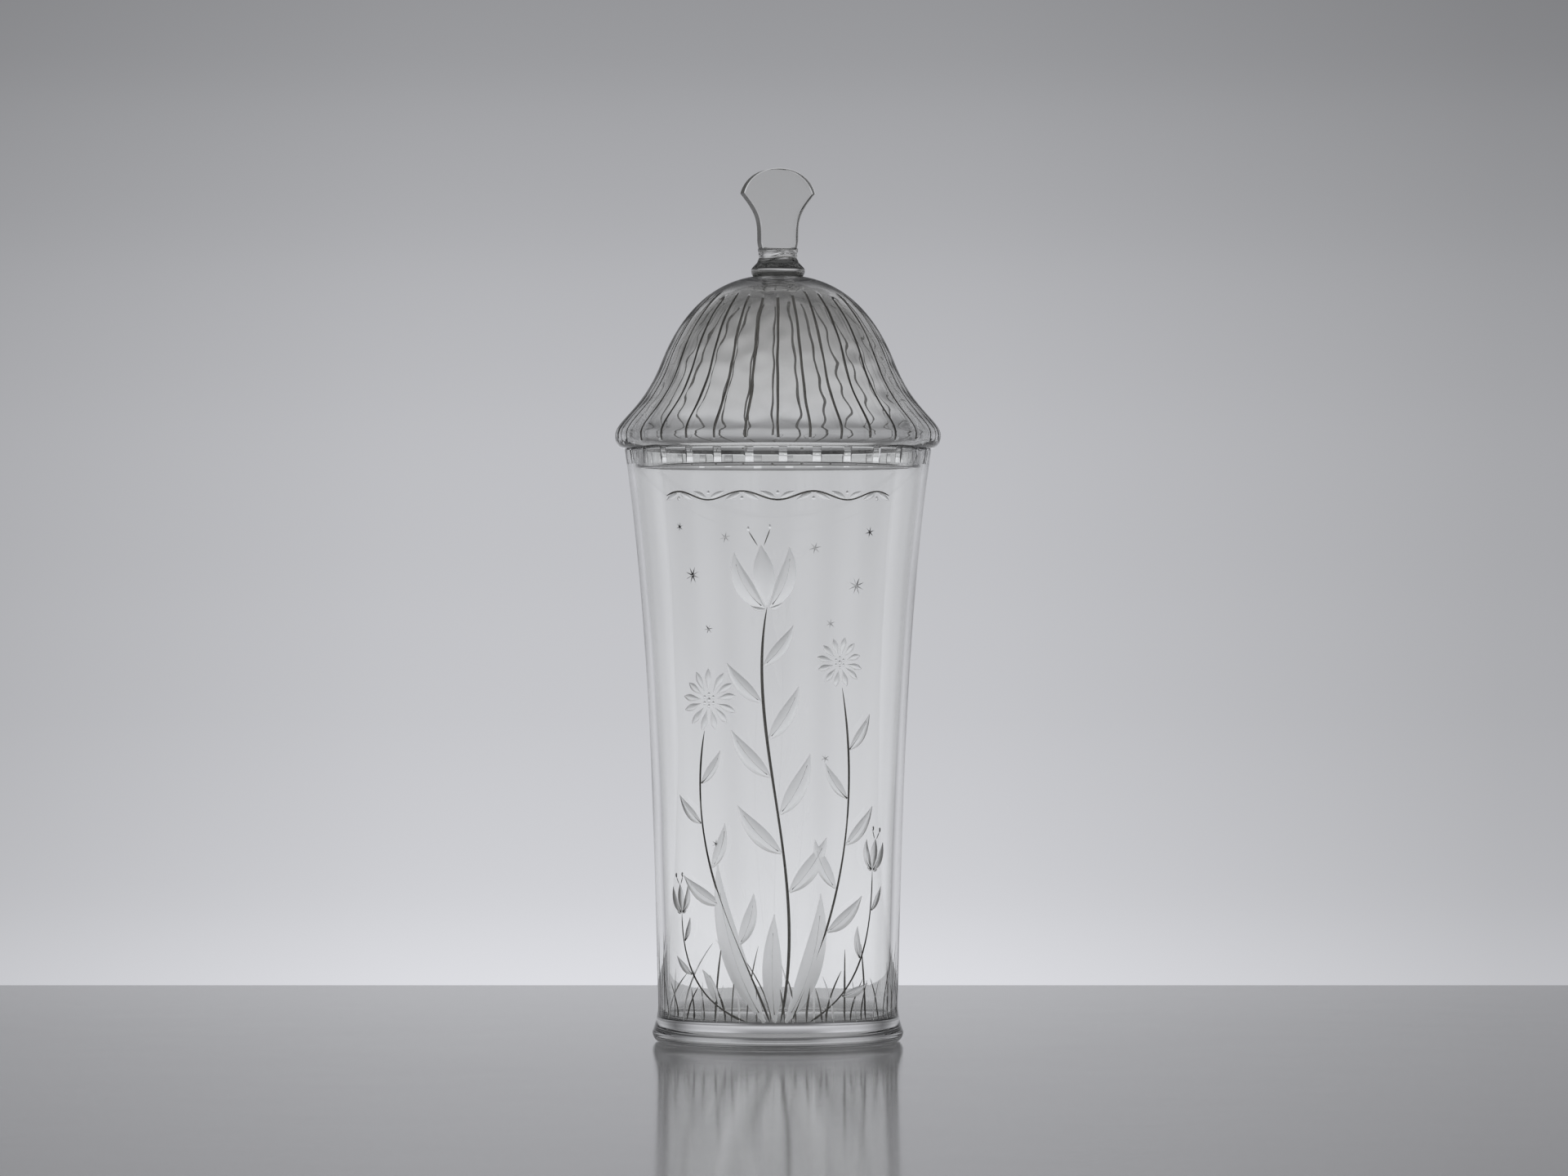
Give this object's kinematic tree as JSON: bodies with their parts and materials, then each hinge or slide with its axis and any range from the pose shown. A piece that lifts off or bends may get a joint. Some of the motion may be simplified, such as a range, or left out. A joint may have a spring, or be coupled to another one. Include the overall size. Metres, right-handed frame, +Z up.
{
  "type": "covered vase",
  "caption": "Tall clear glass jar flaring to a notched rim, on a low round foot, with a fluted bell-shaped cover and a flat paddle finial.",
  "frame": {"origin": "centre of the foot's underside, on the surface the vase stands on", "axes": "+Z up along the vase's axis, -Y towards the front, +X to the right seen from the front"},
  "size_m": [0.1234, 0.1234, 0.33],
  "materials": {
    "clear_glass": "clear blown soda glass, fire polished, with matte wheel-cut lines"
  },
  "bodies": {
    "vase": {"vase_body": "clear_glass", "foot": "clear_glass"},
    "cover": {"cover_dome": "clear_glass", "cover_collar": "clear_glass", "finial_merese": "clear_glass", "finial_paddle": "clear_glass"}
  },
  "joints": [
    {"name": "cover_lift", "type": "slide", "parent": "vase", "child": "cover", "axis": [0, 0, 1], "range_m": [0, 0.15]}
  ]
}
